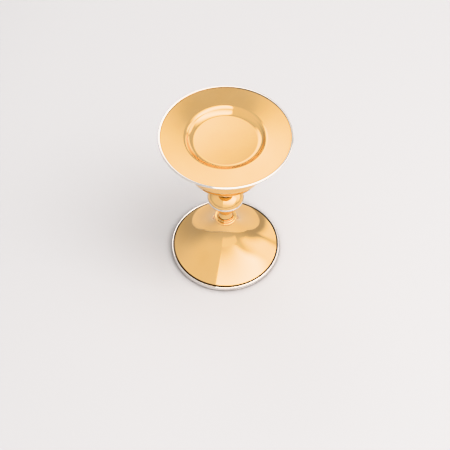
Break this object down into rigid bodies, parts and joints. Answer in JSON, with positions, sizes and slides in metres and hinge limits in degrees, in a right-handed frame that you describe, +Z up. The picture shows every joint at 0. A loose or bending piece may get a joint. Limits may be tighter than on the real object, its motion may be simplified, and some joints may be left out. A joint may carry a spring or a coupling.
{
  "type": "altar chalice with paten plate",
  "caption": "Altar chalice on a hollow trumpet foot with a silver rim, a knopped stem and a gilt cup, with a shallow round paten plate that rests on the cup and lifts off.",
  "frame": {"origin": "centre of the silver rim's flat underside, on the table", "axes": "+Z up along the axis that every piece is turned about; +X and +Y are level, and the split of the spring washer faces +X"},
  "size_m": [0.14, 0.14, 0.2006],
  "materials": {
    "gold": "mirror-polished light gold plate on spun brass",
    "silver": "mirror-polished silver plate",
    "brass": "turned brass, unplated",
    "steel": "zinc-plated steel"
  },
  "bodies": {
    "chalice": {"base_ring": "silver", "foot_shell": "gold", "foot_collar": "gold", "stem_sleeve_lower": "gold", "bead_ring_lower": "silver", "knop_lower": "gold", "knop_band": "silver", "knop_upper": "gold", "knop_core": "brass", "bead_ring_upper": "silver", "stem_sleeve_upper": "gold", "cup_collar": "gold", "cup_seat": "gold", "cup_boss": "brass", "cup_bowl": "gold", "tie_rod": "steel", "clamp_washer": "brass", "spring_washer": "steel", "clamp_nut": "brass"},
    "paten": {"paten_plate": "gold", "paten_rim": "silver"}
  },
  "joints": [
    {"name": "paten_lift", "type": "slide", "parent": "chalice", "child": "paten", "axis": [0, 0, 1], "range_m": [0, 0.06]}
  ]
}
